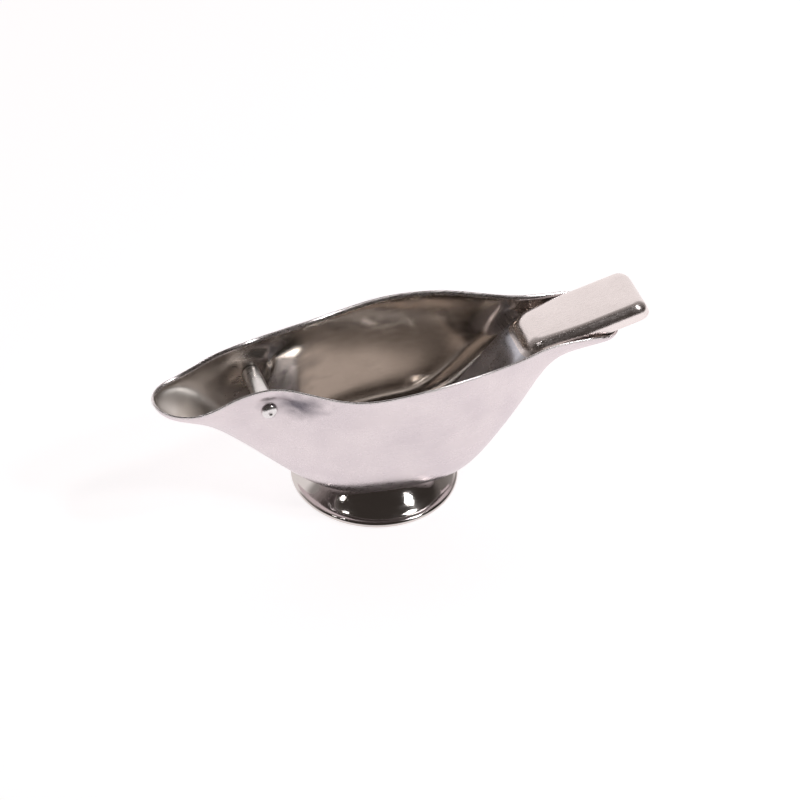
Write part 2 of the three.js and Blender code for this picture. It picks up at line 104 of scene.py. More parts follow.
HANDLE_HALF_WIDTH = 13.5
HANDLE_START_X = 61.7          # front of the handle at the level of its top panel
HANDLE_START_Z = 61.8
HANDLE_LENGTH = 53.4
HANDLE_SLOPE = 0.24            # radians that the top panel rises outwards
HANDLE_DEPTH = 7.0
HANDLE_SIDE_FLARE = 0.3        # the side walls and the end wall lean outwards by this much
HANDLE_END_FLARE = 1.3
HANDLE_END_STRETCH = 12.0      # length over which the end wall's lean fades in
HANDLE_MOST_FLARE = 1.2        # the lean grows no further below this share of the depth
HANDLE_END_EDGE = 4.2          # rounding between the top panel and the walls
HANDLE_START_EDGE = 6.4
HANDLE_EDGE_STRETCH = 30.0
HANDLE_END_CORNER = 5.2        # rounding of the plan corners
HANDLE_START_CORNER = 8.2

# The handle's front turns from a short wall into an apron that slides down the bowl's rear slope.
APRON_DEPTH = 4.9              # level of the turn below the top panel
APRON_FILLET = 0.7
APRON_LEAN = 0.86              # how far the apron runs forwards for each millimetre down
APRON_SHOULDER = 4.2           # flatter first stretch of the apron
APRON_SHOULDER_DEPTH = 1.5
APRON_TROUGH = 0.3             # its sides run further forwards than its middle
APRON_SPREAD = 0.25
APRON_LONGEST = 27.0
APRON_START = 2.0              # the front's shape fades out between these places on the panel,
APRON_WALL_START = 1.0         # and its length from this one on
APRON_END = 14.0
APRON_FRONT = 8.0              # the apron's own finish ends this far behind the handle's front

FOOT_RADIUS = 35.4
FOOT_BRIM_RADIUS = 33.4        # where the flare levels out into the brim
FOOT_BRIM_HEIGHT = 2.5
FOOT_BRIM_FILLET = 1.1
FOOT_SLOPE = 0.62
FOOT_HOLLOW = 0.0186           # curvature of the flare towards the neck
FOOT_LEAST_NECK = 12.0
FOOT_SHEET = 1.1
FOOT_EDGE_RADIUS = 1.2         # half-round outer edge
FOOT_RING_INSET = 0.4          # the ring it stands on ends this far inside the brim's start
FOOT_BEVEL_IN = 0.3
FOOT_BEVEL_UP = 0.35
FOOT_INSIDE_START = 0.5        # and the inside starts this far further in

# ---- fineness of the meshes ----
WALL_STEPS = 44                # from the keel up to each rim
LIP_STEPS = 8
TIP_STEPS = 36
MIDDLE_STEPS = 170
TONGUE_END_STEPS = 14
FOOT_SEGMENTS = 192
SLEEVE_SEGMENTS = 72
RIVET_SEGMENTS = 64


def smoothstep(value, low, high):
    """0 up to the low value, 1 from the high value on, and a smooth rise between them."""
    t = min(max((value - low) / (high - low), 0.0), 1.0)
    return t * t * (3 - 2 * t)


# ---- smooth curves through a few stations ----
def from_tip(x):
    """The spout tip is round, so widths and depths grow with the root of the distance to it."""
    return math.sqrt(max(x - TIP_X, 0.0))


def curve_through(stations):
    """A smooth curve through [x, height] stations, with its small kinks averaged away."""
    at = [from_tip(x) for x, _ in stations]
    height = [value for _, value in stations]
    last = len(at) - 1
    slope = []
    for i in range(last + 1):
        before = max(i - 1, 0)
        after = min(i + 1, last)
        slope.append((height[after] - height[before]) / (at[after] - at[before]))

    def raw(here):
        here = min(max(here, at[0]), at[last])
        i = 0
        while i < last - 1 and here > at[i + 1]:
            i += 1
        span = at[i + 1] - at[i]
        t = (here - at[i]) / span
        ease = t * t * (3 - 2 * t)
        lean = t * (1 - t) ** 2 * slope[i] - t * t * (1 - t) * slope[i + 1]
        return height[i] + (height[i + 1] - height[i]) * ease + span * lean

    steps = 600
    smoothing_passes = 60
    samples = [raw(at[last] * k / steps) for k in range(steps + 1)]
    for _ in range(smoothing_passes):
        middle = [(samples[k - 1] + 2 * samples[k] + samples[k + 1]) / 4 for k in range(1, steps)]
        samples = [samples[0], *middle, samples[-1]]

    def smooth(x):
        place = min(from_tip(x) / at[last], 1.0) * steps
        k = min(int(place), steps - 1)
        return samples[k] + (samples[k + 1] - samples[k]) * (place - k)

    return smooth


rim_half_width = curve_through([
    (TIP_X, 0), (-91.5, 8), (-84, 11.8), (-75, 13.4), (-58, 14.1), (-49, 15.4), (-38, 19.4),
    (-25, 24.8), (-10, 28.6), (12, 30.2), (30, 28.4), (43, 25.4), (56, 21.1), (66, 17.3),
    (76, 15.5), (90, 15), (TONGUE_END_X, 14.4),
])
rim_height = curve_through([
    (TIP_X, TIP_Z), (-84, 61.8), (-76, 63.8), (-66, 68), (-55, 70.3), (-46, 70.3), (-36, 68.3),
    (-22, 65.3), (-10, 64.9), (12, 66.6), (30, 66.9), (43, 66.2), (58, 64.6), (72, 64.1),
    (88, 63.1), (TONGUE_END_X, 62.6),
])
keel_height = curve_through([
    (TIP_X, TIP_Z), (-92, 59.2), (-84, 56.4), (-76, 51.4), (-68, 44.4), (-58, 34.6), (-46, 23),
    (-35, 14.3), (-24, 9.6), (-10, 8.2), (15, 8.2), (28, 10), (38, 16.6), (50, 29.6), (58, 38.8),
    (65, 47.4), (70, 52.4), (76, 54.6), (90, 56.8), (TONGUE_END_X, 58.4),
])
squareness = curve_through([
    (TIP_X, 2), (-75, 2.2), (-55, 2.6), (-35, 3.4), (-10, 5), (25, 5.4), (52, 5.6), (64, 4.8),
    (76, 2.8), (TONGUE_END_X, 2.5),
])


# ---- the bowl ----
def wall(x):
    """The wall at station x: its top, its half-width there, and its depth down to the keel."""
    into = max(x - (TONGUE_END_X - TONGUE_CORNER), 0.0) / TONGUE_CORNER
    fade = math.sqrt(max(1 - into * into, 0.0))
    top = rim_height(x)
    half_width = rim_half_width(x) - TONGUE_DRAW_IN * (1 - fade)
    return top, half_width, (top - keel_height(x)) * fade


SEAT_Y = rim_half_width(BAR_X) - NECK_PINCH


def inner_face(x, across):
    """A point of the bowl's inner face: across is -1 at the near rim, 0 at the keel, 1 at the far."""
    top, half_width, depth = wall(x)
    swing = 2 * abs(across) - 1
    angle = math.pi / 4 * (1 + math.copysign(abs(swing) ** ROW_SWING, swing))
    n = squareness(x)
    reach = (math.sin(angle) ** n + max(math.cos(angle), 0.0) ** n) ** (1 / n)
    y = half_width * math.sin(angle) / reach
    z = top - depth * math.cos(angle) / reach
    neck = math.exp(-((x - BAR_X) / NECK_LENGTH) ** 2)
    pinch = NECK_PINCH * neck * smoothstep(top - z, 0, NECK_BELOW_RIM)
    y *= 1 - pinch / rim_half_width(BAR_X)
    from_rivet = math.hypot(x - BAR_X, z - BAR_Z)
    if across != 0 and from_rivet < SEAT_REACH * SEAT_RADIUS:
        pressed = 1 - smoothstep(from_rivet, SEAT_RADIUS, SEAT_REACH * SEAT_RADIUS)
        y += (SEAT_Y - y) * pressed * smoothstep(top - z, SEAT_FADE_START, SEAT_FADE_END)
    return Vector((x, math.copysign(y, across), z))


def rim_outward(x):
    """The horizontal direction outwards from the rim at station x, on the +Y side."""
    nearly_none = 0.001
    if x - TIP_X < nearly_none:
        return Vector((-1, 0, 0))
    step = 0.02 * (x - TIP_X) + nearly_none
    last = min(x + step, TONGUE_END_X)
    first = x - step
    rise = wall(last)[1] - wall(first)[1]
    return Vector((-rise, last - first, 0)).normalized()


def inner_station(x):
    """One row of the inner face, from the near lip over the keel to the far lip."""
    outward = rim_outward(x)
    share = 1 - smoothstep(x, TONGUE_END_X - LIP_FADE_START, TONGUE_END_X - LIP_FADE_END)
    radius = LIP_RADIUS * max(share, LIP_LEAST)
    row = [inner_face(x, k / WALL_STEPS) for k in range(-WALL_STEPS, WALL_STEPS + 1)]
    near = []
    far = []
    for k in range(1, LIP_STEPS + 1):
        turn = LIP_ANGLE * k / LIP_STEPS
        out = radius * (1 - math.cos(turn))
        up = radius * math.sin(turn)
        far.append(row[-1] + Vector((outward.x * out, outward.y * out, up)))
        near.append(row[0] + Vector((outward.x * out, -outward.y * out, up)))
    return near[::-1] + row + far


def station_places():
    """Stations crowd together at the round tip and at the tongue's closed end."""
    nearly_all = 0.99
    tip_end = TIP_X + TIP_LENGTH
    end_start = TONGUE_END_X - TONGUE_CORNER
    places = [TIP_X + TIP_LENGTH * (k / TIP_STEPS) ** 2 for k in range(TIP_STEPS)]
    places += [tip_end + (end_start - tip_end) * k / MIDDLE_STEPS for k in range(MIDDLE_STEPS)]
    for k in range(TONGUE_END_STEPS + 1):
        turn = math.pi / 2 * k / TONGUE_END_STEPS
        places.append(end_start + TONGUE_CORNER * nearly_all * math.sin(turn))
    return places


def face_normals(rows):
    """Unit normals out of the bowl, for every point of the inner face's grid."""
    width = len(rows[0])
    middle = (width - 1) // 2
    normals = []
    for r, row in enumerate(rows):
        line = []
        for c in range(width):
            across = row[min(c + 1, width - 1)] - row[max(c - 1, 0)]
            if r > 0:
                along = rows[min(r + 1, len(rows) - 1)][c] - rows[r - 1][c]
                line.append(across.cross(along).normalized())
            elif abs(c - middle) > WALL_STEPS:
                line.append(Vector((-abs(across.z), 0, -abs(across.x))).normalized())
            else:
                line.append(Vector((-1, 0, 0)))
        normals.append(line)
    return normals


# ---- mesh making ----
MERGE_WITHIN = 2e-6
EMPTY_BELOW = 1e-7


def finish_mesh(name, points, faces, materials, kinds=None):
    """A smooth-shaded object from points in millimetres about the foot's centre."""
    mesh = bpy.data.meshes.new(name)
    mesh.from_pydata([FOOT_CENTRE + Vector(p) * MM for p in points], [], faces)
    for material in materials:
        mesh.materials.append(material)
    for polygon in mesh.polygons:
        polygon.use_smooth = True
        if kinds is not None:
            polygon.material_index = kinds[polygon.index]
    shape = bmesh.new()
    shape.from_mesh(mesh)
    bmesh.ops.remove_doubles(shape, verts=shape.verts, dist=MERGE_WITHIN)
    bmesh.ops.dissolve_degenerate(shape, edges=shape.edges, dist=EMPTY_BELOW)
    bmesh.ops.recalc_face_normals(shape, faces=shape.faces)
    shape.to_mesh(mesh)
    shape.free()
    mesh.update()
    thing = bpy.data.objects.new(name, mesh)
    bpy.context.scene.collection.objects.link(thing)
    return thing


def grid_faces(rows, width, start, closed=False):
    """Quads between rows of points. A closed grid also joins each row's end to its start."""
    faces = []
    for r in range(rows - 1):
        for c in range(width if closed else width - 1):
            a = start + r * width + c
            b = start + r * width + (c + 1) % width
            faces.append((a, b, b + width, a + width))
    return faces


def ring_faces(sections, count):
    """Quads between closed sections that stand round in a closed ring."""
    faces = []
    for k in range(sections):
        for c in range(count):
            a = k * count + c
            b = k * count + (c + 1) % count
            d = (k + 1) % sections * count + c
            e = (k + 1) % sections * count + (c + 1) % count
            faces.append((a, b, e, d))
    return faces


# ---- materials ----
def node_tree(name):
    """A new material with its nodes, its links and its shader."""
    material = bpy.data.materials.new(name)
    material.use_nodes = True
    nodes = material.node_tree.nodes
    return material, nodes, material.node_tree.links, nodes["Principled BSDF"]


def straight_place(nodes, links, stretch):
    """Object-space places, stretched by three factors."""
    place = nodes.new("ShaderNodeTexCoord")
    mapping = nodes.new("ShaderNodeMapping")
    mapping.inputs["Scale"].default_value = stretch
    links.new(place.outputs["Object"], mapping.inputs["Vector"])
    return mapping.outputs["Vector"]


def spun_place(nodes, links, stretch):
    """Places about the foot's axis as (radius, x, height), so that fine lines run round it."""
    place = nodes.new("ShaderNodeTexCoord")
    shift = nodes.new("ShaderNodeVectorMath")
    shift.operation = "SUBTRACT"
    shift.inputs[1].default_value = FOOT_CENTRE
    parts = nodes.new("ShaderNodeSeparateXYZ")
    flat = nodes.new("ShaderNodeVectorMath")
    flat.operation = "MULTIPLY"
    flat.inputs[1].default_value = (1, 1, 0)
    length = nodes.new("ShaderNodeVectorMath")
    length.operation = "LENGTH"
    joined = nodes.new("ShaderNodeCombineXYZ")
    mapping = nodes.new("ShaderNodeMapping")
    mapping.inputs["Scale"].default_value = stretch
    links.new(place.outputs["Object"], shift.inputs[0])
    links.new(shift.outputs["Vector"], parts.inputs["Vector"])
    links.new(shift.outputs["Vector"], flat.inputs[0])
    links.new(flat.outputs["Vector"], length.inputs[0])
    links.new(length.outputs["Value"], joined.inputs["X"])
    links.new(parts.outputs["X"], joined.inputs["Y"])
    links.new(parts.outputs["Z"], joined.inputs["Z"])
    links.new(joined.outputs["Vector"], mapping.inputs["Vector"])
    return mapping.outputs["Vector"]


def noise(nodes, links, place, scale, detail, roughness=0.5):
    """Noise over the given places, with its size given per metre."""
    texture = nodes.new("ShaderNodeTexNoise")
    texture.inputs["Scale"].default_value = scale
    texture.inputs["Detail"].default_value = detail
    texture.inputs["Roughness"].default_value = roughness
    links.new(place, texture.inputs["Vector"])
    return texture.outputs["Fac"]


def map_range(nodes, links, source, low, high, to_low, to_high):
    """The source's range from low to high, stretched to another range and held at its ends."""
    step = nodes.new("ShaderNodeMapRange")
    step.inputs["From Min"].default_value = low
    step.inputs["From Max"].default_value = high
    step.inputs["To Min"].default_value = to_low
    step.inputs["To Max"].default_value = to_high
    links.new(source, step.inputs["Value"])
    return step.outputs["Result"]


def bump(nodes, links, height, strength, distance, below=None):
    """Relief from a height, laid over the relief below it."""
    step = nodes.new("ShaderNodeBump")
    step.inputs["Strength"].default_value = strength
    step.inputs["Distance"].default_value = distance
    links.new(height, step.inputs["Height"])
    if below is not None:
        links.new(below, step.inputs["Normal"])
    return step.outputs["Normal"]


# Sizes of the patterns in the steel, as noise scales per metre, and depths of the relief in metres.
DRIFT_SCALE = 45
RIPPLE_SCALE = 60
SCUFF_SCALE = 260
LINE_SCALE = 2200
LINE_DEPTH = 0.000004
SCUFF_DEPTH = 0.00002
RIPPLE_DEPTH = 0.0003


def steel(name, light, dark, smooth, rough, grain, ripple, scuffs, spun=False, along=(0.04, 1, 1),
          drawn=(0.5, 0.8, 1.4)):
    """Polished stainless sheet. The tint drifts between two colours and the roughness between two
    values. Fine polishing lines run along the sheet or round a spun piece, light scuffs lie over
    them, and the whole sheet is very slightly wavy."""
    material, nodes, links, shader = node_tree(name)
    shader.inputs["Metallic"].default_value = 1.0
    even = straight_place(nodes, links, (1, 1, 1))
    if spun:
        brushed = spun_place(nodes, links, (1, 0.02, 1))
    else:
        brushed = straight_place(nodes, links, along)
    drift = noise(nodes, links, even, DRIFT_SCALE, 3)
    lines = noise(nodes, links, brushed, LINE_SCALE, 3, 0.6)
    marks = noise(nodes, links, straight_place(nodes, links, drawn), SCUFF_SCALE, 6, 0.6)

    tint = nodes.new("ShaderNodeMix")
    tint.data_type = "RGBA"
    tint.inputs["A"].default_value = (*light, 1)
    tint.inputs["B"].default_value = (*dark, 1)
    links.new(map_range(nodes, links, drift, 0.35, 0.7, 0, 1), tint.inputs["Factor"])
    links.new(tint.outputs["Result"], shader.inputs["Base Color"])

    level = map_range(nodes, links, marks, 0.42, 0.72, smooth, rough)
    sway = 0.25 * smooth
    streak = map_range(nodes, links, lines, 0.3, 0.7, -sway, sway)
    total = nodes.new("ShaderNodeMath")
    total.operation = "ADD"
    links.new(level, total.inputs[0])
    links.new(streak, total.inputs[1])
    links.new(total.outputs["Value"], shader.inputs["Roughness"])

    fine = bump(nodes, links, lines, grain, LINE_DEPTH)
    scuffed = bump(nodes, links, marks, scuffs, SCUFF_DEPTH, fine)
    waves = noise(nodes, links, even, RIPPLE_SCALE, 1)
    wavy = bump(nodes, links, waves, ripple, RIPPLE_DEPTH, scuffed)
    links.new(wavy, shader.inputs["Normal"])
    return material


def painted_shade_patch(material, centre, reach, colour):
    """A soft cloudy patch of painted shade, which darkens a material's colour around a place in
    millimetres.
    """
    nodes = material.node_tree.nodes
    links = material.node_tree.links
    shader = nodes["Principled BSDF"]
    tint = shader.inputs["Base Color"].links[0].from_socket
    cloud_scale = 190
    cloudiness = 1.1
    full_inside, none_outside = 0.7, 1.65
    place = nodes.new("ShaderNodeTexCoord")
    shift = nodes.new("ShaderNodeVectorMath")
    shift.operation = "SUBTRACT"
    shift.inputs[1].default_value = FOOT_CENTRE + Vector(centre) * MM
    shrink = nodes.new("ShaderNodeVectorMath")
    shrink.operation = "DIVIDE"
    shrink.inputs[1].default_value = Vector(reach) * MM
    length = nodes.new("ShaderNodeVectorMath")
    length.operation = "LENGTH"
    links.new(place.outputs["Object"], shift.inputs[0])
    links.new(shift.outputs["Vector"], shrink.inputs[0])
    links.new(shrink.outputs["Vector"], length.inputs[0])
    cloud = noise(nodes, links, straight_place(nodes, links, (0.5, 1, 1)), cloud_scale, 3)
    uneven = nodes.new("ShaderNodeMath")
    uneven.operation = "MULTIPLY_ADD"
    uneven.inputs[1].default_value = cloudiness
    links.new(cloud, uneven.inputs[0])
    links.new(length.outputs["Value"], uneven.inputs[2])
    patch = nodes.new("ShaderNodeMix")
    patch.data_type = "RGBA"
    patch.blend_type = "MULTIPLY"
    patch.inputs["B"].default_value = (*colour, 1)
    share = map_range(nodes, links, uneven.outputs["Value"], full_inside, none_outside, 1, 0)
    links.new(share, patch.inputs["Factor"])
    links.new(tint, patch.inputs["A"])
    links.new(patch.outputs["Result"], shader.inputs["Base Color"])


def roughen(material, first, last, amount):
    """Polish that wears dull along X, from none at the last place to the given amount at the first."""
    nodes = material.node_tree.nodes
    links = material.node_tree.links
    shader = nodes["Principled BSDF"]
    level = shader.inputs["Roughness"].links[0].from_socket
    parts = nodes.new("ShaderNodeSeparateXYZ")
    links.new(straight_place(nodes, links, (1, 1, 1)), parts.inputs["Vector"])
    near_end = FOOT_CENTRE.x + first * MM
    far_end = FOOT_CENTRE.x + last * MM
    worn = map_range(nodes, links, parts.outputs["X"], near_end, far_end, amount, 0)
    total = nodes.new("ShaderNodeMath")
    total.operation = "ADD"
    links.new(level, total.inputs[0])
    links.new(worn, total.inputs[1])
    links.new(total.outputs["Value"], shader.inputs["Roughness"])


satin = steel(
    "bowl_outside_satin", light=(0.76, 0.685, 0.70), dark=(0.68, 0.61, 0.635),
    smooth=0.27, rough=0.37, grain=0.3, ripple=0.5, scuffs=0.12, drawn=(0.07, 0.5, 0.6),
)
# Painted shade: a dark bluish patch on the near outer wall beside the rivet, standing in for the dark
# reflection in the dent round its seat.
painted_shade_patch(satin, centre=(-41, -17, 63), reach=(14, 12, 9), colour=(0.2, 0.2, 0.225))
mirror = steel(
    "bowl_inside_polish", light=(0.74, 0.69, 0.65), dark=(0.67, 0.62, 0.58),
    smooth=0.1, rough=0.17, grain=0.3, ripple=0.2, scuffs=0.06,
)
roughen(mirror, first=-78, last=-24, amount=0.26)
# Painted shade: a dark patch on the far inside wall towards the spout, standing in for the darker
# reflections there.
painted_shade_patch(mirror, centre=(-38, 16, 47), reach=(27, 20, 28), colour=(0.3, 0.3, 0.31))
lip_steel = steel(
    "rim_polish", light=(0.82, 0.77, 0.77), dark=(0.74, 0.69, 0.69),
    smooth=0.26, rough=0.32, grain=0.1, ripple=0.2, scuffs=0.04,
)
# The foot's steel is tinted darker than the bowl's: painted shade, standing in for the grey that the
# real flare mirrors at its sides.
foot_steel = steel(
    "foot_polish_painted_shade", light=(0.68, 0.635, 0.615), dark=(0.62, 0.58, 0.56),
    smooth=0.06, rough=0.12, grain=0.3, ripple=0.2, scuffs=0.05, spun=True,
)
# The handle's steel is tinted lighter than the bowl's: painted light, making up for the grey that its
# rough polish gathers from the studio.
panel_steel = steel(
    "handle_polish_painted_light", light=(0.86, 0.785, 0.77), dark=(0.83, 0.755, 0.74),
    smooth=0.25, rough=0.28, grain=0.12, ripple=0.15, scuffs=0.03,
)
# The apron's bluish tint is a painted reflection of the lavender and navy that the real apron mirrors;
# its rougher satin finish is the sheet's own.
apron_steel = steel(
    "apron_satin_painted_reflection", light=(0.80, 0.79, 0.85), dark=(0.70, 0.69, 0.75),
    smooth=0.3, rough=0.4, grain=0.6, ripple=0.2, scuffs=0.2, drawn=(0.1, 0.8, 0.1),
)
# The tube's steel is tinted lighter than the bowl's: painted light, making up for the dark that its
# polish mirrors.
tube_steel = steel(
    "tube_polish_painted_light", light=(0.90, 0.86, 0.84), dark=(0.84, 0.80, 0.78),
    smooth=0.3, rough=0.38, grain=0.3, ripple=0.1, scuffs=0.1, along=(0.05, 1, 0.05),
)
rivet_steel = steel(
    "rivet_polish", light=(0.80, 0.77, 0.77), dark=(0.70, 0.67, 0.67),
    smooth=0.22, rough=0.34, grain=0.2, ripple=0.2, scuffs=0.6,
)


# ---- pieces ----
def make_bowl():
    """The bowl's sheet: polished inside, satin outside, with a rolled polished rim."""
    inner = [inner_station(x) for x in station_places()]
    normals = face_normals(inner)
    outer = [[p + n * SHEET for p, n in zip(row, line)] for row, line in zip(inner, normals)]
    rows = len(inner)
    width = len(inner[0])
    points = [p for row in inner for p in row] + [p for row in outer for p in row]
    below = rows * width
    faces = []
    kinds = []
    inside, lip, outside = 0, 1, 2
    for face in grid_faces(rows, width, 0):
        column = face[0] % width
        faces.append(face)
        kinds.append(inside if LIP_STEPS <= column < width - 1 - LIP_STEPS else lip)
    for face in grid_faces(rows, width, below):
        faces.append(face)
        kinds.append(outside)
    for r in range(rows - 1):
        a = r * width
        b = a + width - 1
        faces.append((a, a + width, a + width + below, a + below))
        faces.append((b, b + width, b + width + below, b + below))
        kinds += [lip, lip]
    end = (rows - 1) * width
    for c in range(width - 1):
        faces.append((end + c, end + c + 1, end + c + 1 + below, end + c + below))
        kinds.append(lip)
    return finish_mesh("bowl_skin", points, faces, [mirror, lip_steel, satin], kinds)


def turned(name, profile, segments, material):
    """A solid of revolution from a closed [radius, y] profile, about the rivet's axis."""
    points = []
    for k in range(segments):
        turn = 2 * math.pi * k / segments
        for radius, y in profile:
            points.append((BAR_X + radius * math.cos(turn), y, BAR_Z + radius * math.sin(turn)))
    return finish_mesh(name, points, ring_faces(segments, len(profile)), [material])


def rounded(profile, radius):
    """The closed profile with its corners rounded, each by no more than its short side allows."""
    steps = 5
    most = 0.45
    smooth = []
    count = len(profile)
    for i in range(count):
        here = Vector(profile[i])
        to_last = Vector(profile[i - 1]) - here
        to_next = Vector(profile[(i + 1) % count]) - here
        reach = min(radius, to_last.length * most, to_next.length * most)
        start = here + to_last.normalized() * reach
        end = here + to_next.normalized() * reach
        for k in range(steps + 1):
            t = k / steps
            smooth.append(tuple(start * (1 - t) ** 2 + here * 2 * t * (1 - t) + end * t * t))
    return smooth


def flare_height(radius):
    """The foot's flare: a cone, a little hollow, that levels out into a narrow brim."""
    over = FOOT_BRIM_RADIUS - radius
    rise = (over + math.hypot(over, FOOT_BRIM_FILLET)) / 2
    return FOOT_BRIM_HEIGHT + FOOT_SLOPE * rise + FOOT_HOLLOW * rise * rise


def neck_radius(turn, sink):
    """Where the flare, going inwards at this angle, has sunk into the bowl's bottom by so much."""
    step = 0.05
    radius = FOOT_BRIM_RADIUS
    while radius > FOOT_LEAST_NECK:
        floor = bowl_floor(radius * math.cos(turn), radius * math.sin(turn))
        if floor is not None and flare_height(radius) > floor - SHEET + sink:
            return radius
        radius -= step
    return radius


def make_foot():
    """A spun ring that stands on its brim and runs up into the bowl's bottom."""
    flare_steps = 30
    edge_steps = 12
    edge = FOOT_EDGE_RADIUS
    last = FOOT_RADIUS - edge
    inner_last = FOOT_BRIM_RADIUS - FOOT_RING_INSET
    points = []
    for k in range(FOOT_SEGMENTS):
        turn = 2 * math.pi * k / FOOT_SEGMENTS
        neck = neck_radius(turn, SINK)
        profile = []
        for i in range(flare_steps + 1):
            share = i / flare_steps
            radius = neck + (last - neck) * share
            profile.append((radius, flare_height(radius)))
        edge_top = profile[-1][1]
        for i in range(1, edge_steps + 1):
            angle = math.pi / 2 - math.pi * i / edge_steps
            profile.append((last + edge * math.cos(angle), edge_top / 2 * (1 + math.sin(angle))))
        profile.append((inner_last, 0.0))
        profile.append((inner_last - FOOT_BEVEL_IN, FOOT_BEVEL_UP))
        for i in range(flare_steps + 1):
            share = i / flare_steps
            radius = inner_last - FOOT_INSIDE_START + (neck - inner_last) * share
            profile.append((radius, flare_height(radius + FOOT_RING_INSET) - FOOT_SHEET))
        points += [(r * math.cos(turn), r * math.sin(turn), z) for r, z in profile]
    faces = ring_faces(FOOT_SEGMENTS, len(profile))
    return finish_mesh("foot_ring", points, faces, [foot_steel])


def make_sleeve():
    """The square-cut spacer tube between the two walls of the neck."""
    end = SEAT_Y - SLEEVE_END_PLAY
    square = [
        (SLEEVE_INNER_RADIUS, -end), (SLEEVE_OUTER_RADIUS, -end),
        (SLEEVE_OUTER_RADIUS, end), (SLEEVE_INNER_RADIUS, end),
    ]
    return turned("spacer_tube", rounded(square, SLEEVE_CORNER), SLEEVE_SEGMENTS, tube_steel)


def make_rivet():
    """The shank across both walls, with a dimpled dome on each side."""
    seat = SEAT_Y + SHEET + RIVET_SEAT_GAP
    tall = RIVET_HEAD_HEIGHT
    edge = seat + RIVET_HEAD_EDGE
    chamfer_start = RIVET_HEAD_RADIUS - RIVET_HEAD_CHAMFER
    dome = [(RIVET_RADIUS, seat), (chamfer_start, seat), (RIVET_HEAD_RADIUS, edge)]
    steps = 12
    for k in range(1, steps):
        turn = math.pi / 2 * k / steps
        radius = RIVET_HEAD_RADIUS * math.cos(turn) ** RIVET_HEAD_FULLNESS
        if radius > RIVET_DIMPLE_RADIUS:
            dome.append((radius, edge + (tall - RIVET_HEAD_EDGE) * math.sin(turn)))
    dome += [(radius, seat + tall * share) for radius, share in RIVET_DIMPLE]
    near = [(radius, -y) for radius, y in dome][::-1]
    return turned("rivet_with_heads", near + dome, RIVET_SEGMENTS, rivet_steel)


def handle_outline():
    """The handle's plan outline: points (along, across) with their outward directions."""
    corner_steps = 14
    side_steps = 26
    corners = []
    for quarter, (end, side) in enumerate(((1, 1), (0, 1), (0, -1), (1, -1))):
        radius = HANDLE_END_CORNER if end else HANDLE_START_CORNER
        middle = HANDLE_LENGTH - radius if end else radius
        corners.append((middle, side * (HANDLE_HALF_WIDTH - radius), radius, quarter))
    outline = []
    for i, (s, y, radius, quarter) in enumerate(corners):
        for k in range(corner_steps + 1):
            turn = math.pi / 2 * (quarter + k / corner_steps)
            out_s, out_y = math.cos(turn), math.sin(turn)
            outline.append((s + radius * out_s, y + radius * out_y, out_s, out_y))
        next_s, next_y, next_radius, _ = corners[(i + 1) % len(corners)]
        from_s, from_y, out_s, out_y = outline[-1]
        to_s = next_s + next_radius * out_s
        to_y = next_y + next_radius * out_y
        for k in range(1, side_steps):
            share = k / side_steps
            along = from_s + (to_s - from_s) * share
            across = from_y + (to_y - from_y) * share
            outline.append((along, across, out_s, out_y))
    return outline


def handle_edge(s):
    """The radius of the handle's rounded top edge, which grows towards its root."""
    rootness = 1 - smoothstep(s, 0, HANDLE_EDGE_STRETCH)
    return HANDLE_END_EDGE + (HANDLE_START_EDGE - HANDLE_END_EDGE) * rootness


def bowl_floor(x, y):
    """Height of the bowl's inner face under a point, or None outside its walls."""
    if x > TONGUE_END_X:
        return None
    top, half_width, depth = wall(x)
    if abs(y) >= half_width:
        return None
    n = squareness(x)
    return top - depth * (1 - (abs(y) / half_width) ** n) ** (1 / n)


def handle_place(s, y, depth):
    """A point of the handle in millimetres: along the top panel, across it, and down from it."""
    over = depth - APRON_DEPTH
    slide = (over + math.hypot(over, APRON_FILLET)) / 2
    frontness = 1 - smoothstep(s, APRON_START, APRON_END)
    flare = min(depth / HANDLE_DEPTH, HANDLE_MOST_FLARE)
    endness = smoothstep(s, HANDLE_LENGTH - HANDLE_END_STRETCH, HANDLE_LENGTH)
    hollow = 1 + APRON_TROUGH * (abs(y) / HANDLE_HALF_WIDTH) ** 3
    shoulder = APRON_SHOULDER * (1 - math.exp(-slide / APRON_SHOULDER_DEPTH))
    lean = APRON_LEAN * slide * hollow + shoulder
    along = s - frontness * lean + HANDLE_END_FLARE * flare * endness
    spread = HANDLE_SIDE_FLARE * flare + frontness * APRON_SPREAD * slide
    side = y * (1 + spread / HANDLE_HALF_WIDTH)
    cos, sin = math.cos(HANDLE_SLOPE), math.sin(HANDLE_SLOPE)
    x = HANDLE_START_X + along * cos + depth * sin
    z = HANDLE_START_Z + along * sin - depth * cos
    return Vector((x, side, z))


def wall_depth(s, y, sink):
    """How far down the handle's wall goes at a place: to the bowl's face, or to its free edge."""
    shallow = handle_edge(s)
    deepest = HANDLE_DEPTH + APRON_LONGEST * (1 - smoothstep(s, APRON_WALL_START, APRON_END))
    steps = 90
    for k in range(steps + 1):
        depth = shallow + (deepest - shallow) * k / steps
        place = handle_place(s, y, depth)
        ground = bowl_floor(place.x, place.y)
        if ground is not None and place.z < ground - sink:
            return depth
    return deepest


